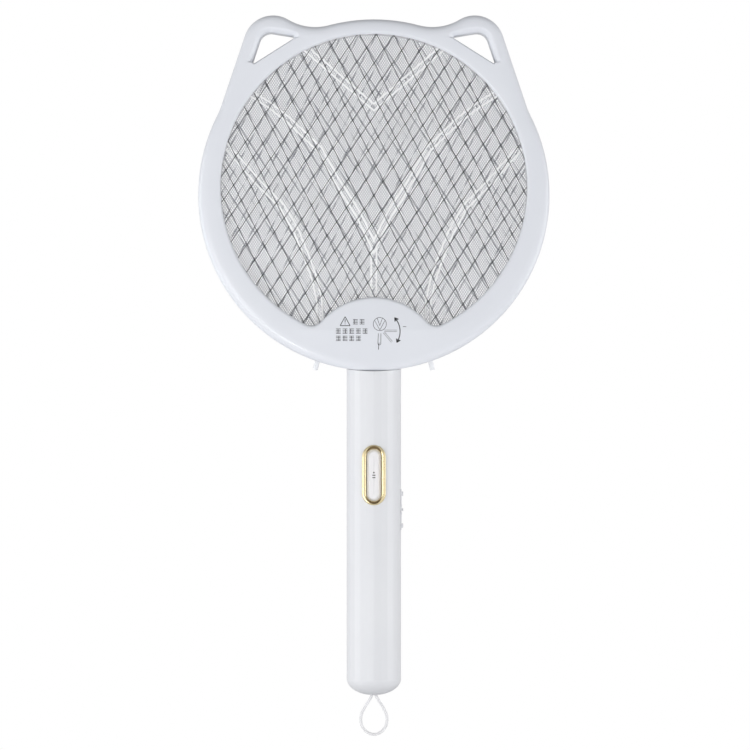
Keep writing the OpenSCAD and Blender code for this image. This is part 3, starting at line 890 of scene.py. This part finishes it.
BEZEL = pill(bezel_high.x - bezel_low.x, bezel_high.z - bezel_low.z)
BEZEL_W = 2.7
CRYSTAL_EDGE = 1.7
CREASE_W = 0.5
WELD = 0.00001
# the crescents of painted dark reflection inside the bezel's ends: half angle in degrees, steps, width and
# inset
SHADE_REACH = 68
SHADE_STEPS = 34
SHADE_W = 1.5
SHADE_INSET = 2.2


def bezel_shade(name, side, y):
    """A dark crescent inside one round end of the bezel: a painted reflection of the dark surroundings in
    the gold.
    """
    r = (bezel_high.x - bezel_low.x) / 2
    c = Vector((0, KEY_Z + side * ((bezel_high.z - bezel_low.z) / 2 - r)))
    outer, inner = [], []
    for k in range(SHADE_STEPS + 1):
        a = -SHADE_REACH + 2 * SHADE_REACH * k / SHADE_STEPS
        ray = side * polar(1, math.radians(90 + a))
        wide = SHADE_W * math.cos(math.radians(90 * a / SHADE_REACH))
        outer.append(c + ray * (r - SHADE_INSET + wide))
        inner.append(c + ray * (r - SHADE_INSET - 0.05))
    make(name, *prism(outer + inner[::-1], y, y + 0.5), PAINTED_REFLECTION_GOLD, "gold", "handle")


def build_key():
    """The gold bezel with its painted dark reflections, the clear key, a grey strip of painted shade on its
    crease, and its sign.
    """
    front = bezel_low.y
    section = ((0.0, bezel_high.y), (0.0, front + 1.2), (0.08, front + 0.7), (0.25, front + 0.35),
               (0.55, front + 0.15), (0.95, front + 0.07), (1.5, front + 0.05), (2.0, front + 0.12),
               (2.35, front + 0.4), (2.58, front + 1.0), (BEZEL_W, front + 1.8), (BEZEL_W, bezel_high.y))
    rings = [[at(p, y) for p in moved(BEZEL, -d)] for d, y in section]
    make("key_bezel_ring", *loft(rings, True, True), GOLD, "gold", "handle", 60, ("key_bezel",))
    for side in (1, -1):
        bezel_shade("key_bezel_shade_" + ("high" if side > 0 else "low"), side, front)

    low, high = box_mm("key_cap")
    width, height = high.x - low.x, high.z - low.z
    outline = pill(width, height)
    ridge = height / 2 - width / 2
    rings = [[at(p, y) for p in moved(outline, -d)] for d, y in
             ((0.0, high.y), (0.0, low.y + 1.6), (0.25, low.y + 1.35), (CRYSTAL_EDGE, low.y + 0.3))]
    verts, faces = loft(rings)
    n = len(outline)
    top = []
    for i, (p, _) in enumerate(outline):
        z = min(max(p.y, KEY_Z - ridge), KEY_Z + ridge)
        top.append(at((0, z), low.y))
    start = len(verts)
    verts += top
    bridge(faces, 3 * n, start, n)
    faces.append(tuple(range(n)))
    cap = make("key_crystal", verts, faces, CRYSTAL, "crystal", "key", 12, ("key_cap",))
    edit(cap.data, weld)
    smooth(cap.data, 12)

    # a thin grey strip along the ridge: painted shade of the crease
    crease = rectangle(-CREASE_W / 2, CREASE_W / 2, KEY_Z - ridge, KEY_Z + ridge)
    make("key_crease_painted_shade", *prism(crease, low.y + 0.02, low.y + 0.3), CREASE_PAINTED_SHADE, "crystal", "key")

    # a small sign on the crystal's ridge: a dot over two bars
    y = low.y + 0.1
    marks = [disc((0, KEY_Z + 1.6), 0.5, 16), rectangle(-0.9, 0.9, KEY_Z - 0.35, KEY_Z + 0.25),
             rectangle(-0.9, 0.9, KEY_Z - 1.85, KEY_Z - 1.25)]
    make("key_mark", *prisms([(loop, y - 0.15, y) for loop in marks]), INK, "dark_plastic", "key")


def weld(work):
    """Joins the vertices that lie on one another."""
    bmesh.ops.remove_doubles(work, verts=work.verts, dist=WELD)
    bmesh.ops.dissolve_degenerate(work, dist=WELD, edges=work.edges)


def build_handle():
    key_well = temp(*prism([p for p, _ in BEZEL], -HANDLE_R - 4, -9))
    handle_half("handle_front", math.pi, "handle_front_shell", [key_well, box_cutter(*NOTCH)])
    floor = HANDLE_R - HANDLE_WELL_DEPTH
    wells = [temp(*prism(disc((0, z), HANDLE_WELL_R), floor, HANDLE_R + 2)) for z in HANDLE_SCREW_Z]
    port = box_cutter(*PORT)
    handle_half("handle_rear", 0.0, "handle_rear_shell", [box_cutter(*NOTCH), port] + wells)
    # bosses behind the screw wells
    bosses = prisms([(disc((0, z), 3.2), HANDLE_R - 6, floor) for z in HANDLE_SCREW_Z])
    make("handle_bosses", *bosses, HANDLE_WHITE, "handle_white", "handle")
    # the top face, with its slot for the neck
    n = 96
    wide, deep = knuckle_high.x - 2.2, 8.2
    loops = []
    for r, low in ((HANDLE_R - 0.6, False), (None, False), (None, True), (HANDLE_R - 0.6, True)):
        ring = []
        for i in range(n):
            a = 2 * math.pi * i / n
            c, s = math.cos(a), math.sin(a)
            reach = r if r else 1 / max(abs(c) / wide, abs(s) / deep)
            x, y = reach * c, reach * s
            ring.append(Vector((x, y, handle_top(x) - (5 if low else 0.12))) * MM)
        loops.append(ring)
    make("handle_top", *loft(loops, True, True), HANDLE_WHITE, "handle_white", "handle", 30)


def bevelled(name, solids, mat, slot, body, bevel, replaces=()):
    """Several boxes or prisms with rounded edges as one piece: solids are (loop, y0, y1)."""
    obj = make(name, *prisms(solids), mat, slot, body, 30, replaces)

    def ease(work):
        limit = math.radians(30)
        edges = [e for e in work.edges if len(e.link_faces) == 2 and e.calc_face_angle(0) > limit]
        bmesh.ops.bevel(work, geom=edges, offset=bevel * MM, segments=3, profile=0.5, affect="EDGES",
                        clamp_overlap=True)

    edit(obj.data, ease)
    smooth(obj.data, 40)


def build_switch():
    """The switch's raised frame on the handle's +X side, and its ribbed knob."""
    base, top = 15.4, 17.35
    z = SLIDER_Z
    frame_parts = [
        (rectangle(base, top, z - 12.8, z - 8.4), -4.3, 4.3),
        (rectangle(base, top, z + 8.4, z + 12.8), -4.3, 4.3),
        (rectangle(base, top, z - 8.6, z + 8.6), -4.3, -2.7),
        (rectangle(base, top, z - 8.6, z + 8.6), 2.7, 4.3)]
    for s in (-1, 1):
        ridge = rectangle(top - 0.4, 18.35, z + s * 10 - 1.3, z + s * 10 + 1.3)
        frame_parts.append((ridge, -3.3, 3.3))
    bevelled("switch_frame", frame_parts, HANDLE_WHITE, "handle_white", "handle", 0.35, ("switch_bezel",))
    slider = [(rectangle(15.6, 17.15, z - 4, z + 4), -2.35, 2.35)]
    for k, out in ((-2.4, 17.6), (0, 18.35), (2.4, 17.6)):
        slider.append((rectangle(17.0, out, z + k - 0.75, z + k + 0.75), -2.1, 2.1))
    slider.append((rectangle(13.4, 15.7, z - 1.5, z + 1.5), -1, 1))
    bevelled("slider_knob", slider, HANDLE_WHITE, "handle_white", "slider", 0.2, ("mode_slider",))


def screw_head(verts, faces, p, y, r, out=1):
    """A pan head with a cross recess; out is the way it faces along Y."""
    n = 24
    rings = [(r, -0.9), (r, -0.25), (r * 0.86, 0.0)]
    start = len(verts)
    for rr, dy in rings:
        verts.extend(at(q, y + out * dy) for q in disc(p, rr, n))
    for k in range(len(rings) - 1):
        bridge(faces, start + k * n, start + (k + 1) * n, n)

    def star(scale, depth):
        """A cross-shaped ring, sunk into the head."""
        first = len(verts)
        for i in range(n):
            a = 2 * math.pi * i / n
            reach = scale * (1.0 if i % 6 in (0, 1, 5) else 0.34)
            verts.append(at((p[0] + reach * math.cos(a), p[1] + reach * math.sin(a)), y + out * depth))
        return first

    rim = star(r * 0.62, 0.0)
    floor = star(r * 0.5, -0.6)
    bridge(faces, start + 2 * n, rim, n)
    bridge(faces, rim, floor, n)
    faces.append(tuple(range(floor, floor + n)))
    faces.append(tuple(range(start + n - 1, start - 1, -1)))


def build_screws():
    verts, faces = [], []
    for p in SCREWS:
        screw_head(verts, faces, p, HALF_T - 0.5, 1.9)
    make("head_screw_heads", verts, faces, STEEL, "steel", "head", 30)
    verts, faces = [], []
    for z in HANDLE_SCREW_Z:
        screw_head(verts, faces, (0, z), HANDLE_R - 2.2, 2.0)
    make("handle_screw_heads", verts, faces, STEEL, "steel", "handle", 30)


def build_feet():
    """Two blades behind the rim that the head rests on."""
    low, high = box_mm("rear_feet")
    solids = []
    for s in (-1, 1):
        loop = [(32.4, 154.1), (35.5, 154.7), (38.3, 143.3), (35.3, 142.7)]
        solids.append(([(s * x, z) for x, z in loop], low.y, high.y))
    bevelled("feet", solids, FOOT_WHITE, "inner_white", "head", 0.35, ("rear_feet",))


# ---- strap: the route repeats the frame's, in millimetres ----
STRAP_ROUTE = [(-1.2, -57.4), (-1.3, -60), (-3.2, -63.6), (-5.6, -67.4), (-7.5, -71.2), (-8.2, -75),
               (-7.3, -79.4), (-4.4, -82.9), (0, -84.4), (4.4, -82.9), (7.3, -79.4), (8.2, -75),
               (7.5, -71.2), (5.6, -67.4), (3.2, -63.6), (1.3, -60), (1.2, -57.4)]
STRAP_R = 0.95


def build_strap():
    """The braided strap: a tube whose surface is ridged by two crossing twists."""
    path = spline([Vector(p) for p in STRAP_ROUTE], 14)
    n, lobes = 32, 8
    rings = []
    run = 0.0
    last = path[0]
    for p, t in zip(path, tangents(path)):
        run += (p - last).length
        last = p
        side = Vector((-t.y, t.x))
        ring = []
        for i in range(n):
            a = 2 * math.pi * i / n
            twist = run * 2.0
            over = abs(math.sin(lobes / 2 * a + twist)) * 0.5 + abs(math.sin(lobes / 2 * a - twist)) * 0.5
            r = STRAP_R * (0.90 + 0.10 * over)
            q = p + side * (r * math.cos(a))
            ring.append(at(q, r * math.sin(a)))
        rings.append(ring)
    verts, faces = [v for ring in rings for v in ring], []
    tube(faces, 0, len(rings), n)
    obj = make("strap", verts, faces, CORD, "strap_white", "handle", 60, ("strap_cord",))


# ---- printed marks: plain pictograms, no words ----
PRINT_Y = -HALF_T - 0.03


def stroke(verts, faces, points, width):
    """A thin printed line through points of the face."""
    path = [Vector(p) for p in points]
    start = len(verts)
    for p, t in zip(path, tangents(path)):
        side = Vector((-t.y, t.x)) * (width / 2)
        back = PRINT_Y + 0.05
        for q, y in ((p - side, PRINT_Y), (p + side, PRINT_Y), (p + side, back), (p - side, back)):
            verts.append(at(q, y))
    tube(faces, start, len(path), 4)


def build_print():
    verts, faces = [], []

    def line(points, width=0.32):
        stroke(verts, faces, points, width)

    def curve(c, r, a0, a1, width=0.32, squash=1.0):
        pts = [(c[0] + r * math.cos(math.radians(a)), c[1] + squash * r * math.sin(math.radians(a)))
               for a in [a0 + (a1 - a0) * k / 24 for k in range(25)]]
        line(pts, width)

    # attention triangle
    tri = [(-21.0, 170.6), (-17.9, 176.2), (-14.8, 170.6)]
    for a, b in zip(tri, tri[1:] + tri[:1]):
        line([a, b], 0.45)
    line([(-17.9, 174.6), (-17.9, 172.6)], 0.45)
    line([(-17.9, 171.9), (-17.9, 171.5)], 0.5)
    # rows of small hatched squares in place of words
    for row, (z, x0, count) in enumerate(((173.0, -13.0, 2), (167.2, -23.6, 5), (162.7, -23.6, 4))):
        for k in range(count):
            x = x0 + k * 4.15
            for dz in (-1.4, -0.5, 0.5, 1.4):
                line([(x, z + dz), (x + 3.0, z + dz)], 0.34)
            up = x + 0.8 + 0.5 * ((k + row) % 3)
            line([(up, z - 1.5), (up, z + 1.5)], 0.36)
    # a plain swatter whose head folds round to one side
    line([(2.8, 155.7), (3.2, 160.0)], 0.4)
    for s in (-1, 1):
        line([(3.4 + s * 0.9, 159.5), (3.6 + s * 0.8, 165.8)], 0.3)
    curve((3.4, 159.5), 0.9, 180, 360, 0.3)
    curve((3.7, 171.6), 4.1, 0, 360, 0.3)
    for s in (-1, 1):
        line([(3.7 + s * 3.2, 173.8), (3.7, 167.9)], 0.26)
        line([(3.7 + s * 1.6, 175.2), (3.7, 170.6)], 0.26)
    for a in (0, -50):
        c, s = math.cos(math.radians(a)), math.sin(math.radians(a))
        start, end = (5.4 + 1.2 * c, 167.4 + 1.2 * s), (5.4 + 9.0 * c, 167.4 + 9.0 * s)
        off = (-s * 0.45, c * 0.45)
        for way in (1, -1):
            line([(p[0] + way * off[0], p[1] + way * off[1]) for p in (start, end)], 0.22)
    hub, reach = Vector((3.7, 167.0)), 12.6
    curve(hub, reach, 34, -24, 0.6)
    for a, way in ((37, 1), (-27, -1)):
        tip = hub + polar(reach, math.radians(a + way * 6))
        for k in (-1.4, -0.7, 0, 0.7, 1.4):
            line([tuple(hub + polar(reach + k, math.radians(a - way * 4))), tuple(tip)], 0.5)
    line([(18.0, 170.0), (20.2, 170.0)], 0.3)
    make("printed_marks", verts, faces, INK, "dark_plastic", "head")


# ---- CAD pieces that stay ----
def build_carried():
    looks = {
        INNER_WHITE: ("hinge_knuckle", "hinge_bracket"),
        STEEL: ("head_screws", "bracket_screws", "hinge_axle", "axle_clips", "handle_screws",
                "strap_ferrule", "charge_port"),
        BRASS: ("head_contact_rings", "handle_contact_rings", "net_terminals", "battery_contacts"),
        LEAD: ("head_leads", "handle_leads"), BOARD: ("main_board", "charge_board"),
        COIL: ("hv_transformer",), FILM: ("hv_capacitor",), WRAP: ("battery_cell",),
        DARK: ("tact_switch", "slide_switch_body"), LAMP: ("indicator_lamps",), GUIDE: ("key_light_guide",)}
    for mat, names in looks.items():
        for name in names:
            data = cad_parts[name].data
            data.materials.clear()
            data.materials.append(mat)


# ---- light and camera ----
# the world's strength as light, from straight below and from straight above
LIGHT_BELOW = 1.24
LIGHT_ABOVE = 0.32
# the camera: width of the view and distance, in metres
VIEW_W = 468.1 * MM
FAR = 5.0
SENSOR = 36


def build_world():
    """White to the eye; as light, brighter from below and dimmer from above."""
    world = bpy.data.worlds.new("studio")
    bpy.context.scene.world = world
    world.use_nodes = True
    nodes, links = world.node_tree.nodes, world.node_tree.links
    back = nodes["Background"]
    coords = nodes.new("ShaderNodeTexCoord")
    split = nodes.new("ShaderNodeSeparateXYZ")
    links.new(coords.outputs["Generated"], split.inputs["Vector"])
    level = nodes.new("ShaderNodeMapRange")
    put(level, {"From Min": -1.0, "From Max": 1.0, "To Min": LIGHT_BELOW, "To Max": LIGHT_ABOVE})
    links.new(split.outputs["Z"], level.inputs["Value"])
    path = nodes.new("ShaderNodeLightPath")
    seen = nodes.new("ShaderNodeMath")
    seen.operation = "MAXIMUM"
    links.new(path.outputs["Is Camera Ray"], seen.inputs[0])
    links.new(level.outputs["Result"], seen.inputs[1])
    links.new(seen.outputs["Value"], back.inputs["Strength"])
    put(back, {"Color": (1, 1, 1, 1)})


def build_floor():
    mesh = bpy.data.meshes.new("floor")
    size, z, n = 1.5, -0.36, 48
    mesh.from_pydata([(size * math.cos(2 * math.pi * i / n), size * math.sin(2 * math.pi * i / n), z)
                      for i in range(n)], [], [tuple(range(n))])
    floor = bpy.data.objects.new("floor", mesh)
    bpy.context.collection.objects.link(floor)
    mesh.materials.append(plastic("floor_pale", (0.80, 0.80, 0.81), (0.84, 0.84, 0.85), 0.6, coat=0.0))


def aimed(name, data, place, target):
    lamp = bpy.data.objects.new(name, data)
    bpy.context.collection.objects.link(lamp)
    lamp.visible_camera = False
    lamp.location = place
    lamp.rotation_euler = (Vector(target) - Vector(place)).to_track_quat("-Z", "Y").to_euler()


def area_light(name, place, target, size, power):
    data = bpy.data.lights.new(name, "AREA")
    data.shape = "RECTANGLE"
    data.size, data.size_y = size
    data.energy = power
    aimed(name, data, place, target)


def build_lights():
    area_light("key_light", (-0.55, -1.1, -0.2), (0, 0, 0.1), (0.6, 0.6), 4.0)
    for side in (-1, 1):
        area_light("side_light", (side * 1.0, -0.25, 0.0), (0, 0, 0.05), (0.5, 0.9), 3.6)
    area_light("fill_light", (1.3, -1.3, -0.2), (0, 0, 0.15), (0.8, 1.2), 1.5)
    area_light("under_light", (0, -0.45, -0.33), (0, 0, 0.2), (0.9, 0.7), 1.0)
    pool = bpy.data.lights.new("low_pool", "SPOT")
    pool.energy = 34
    pool.shadow_soft_size = 0.12
    pool.spot_size = math.radians(27)
    pool.spot_blend = 1.0
    aimed("low_pool", pool, (-0.35, -1.5, -0.45), (-0.01, 0, 0.07))


def build_camera():
    """Straight at the front, framed as the object fills the view."""
    aim = Vector((0.7 * MM, 0, 139.9 * MM))
    data = bpy.data.cameras.new("camera")
    data.sensor_width = SENSOR
    data.lens = SENSOR * FAR / VIEW_W
    data.clip_end = 20
    camera = bpy.data.objects.new("camera", data)
    bpy.context.collection.objects.link(camera)
    camera.location = aim + Vector((0, -FAR, 0))
    camera.rotation_euler = (math.radians(90), 0, 0)
    bpy.context.scene.camera = camera


build_camera()
build_strap()
build_head_shells()
holder("front_spacer", -PLATE_Y + HOLDER_SKIN, -HOLDER_GAP, "front_spacer_ring")
holder("rear_spacer", HOLDER_GAP, PLATE_Y - HOLDER_SKIN, "rear_spacer_ring")
build_ribs()
expanded_net("front_guard_net", (net_low.y + net_high.y) / 2, (117, 55), ("front_net",))
expanded_net("rear_guard_net", (rear_low.y + rear_high.y) / 2, (123, 61.4), ("rear_net",))
live_net()
build_handle()
build_key()
build_switch()
build_screws()
build_feet()
build_print()
build_carried()
build_world()
build_floor()
build_lights()
bpy.context.scene.view_settings.view_transform = "Standard"
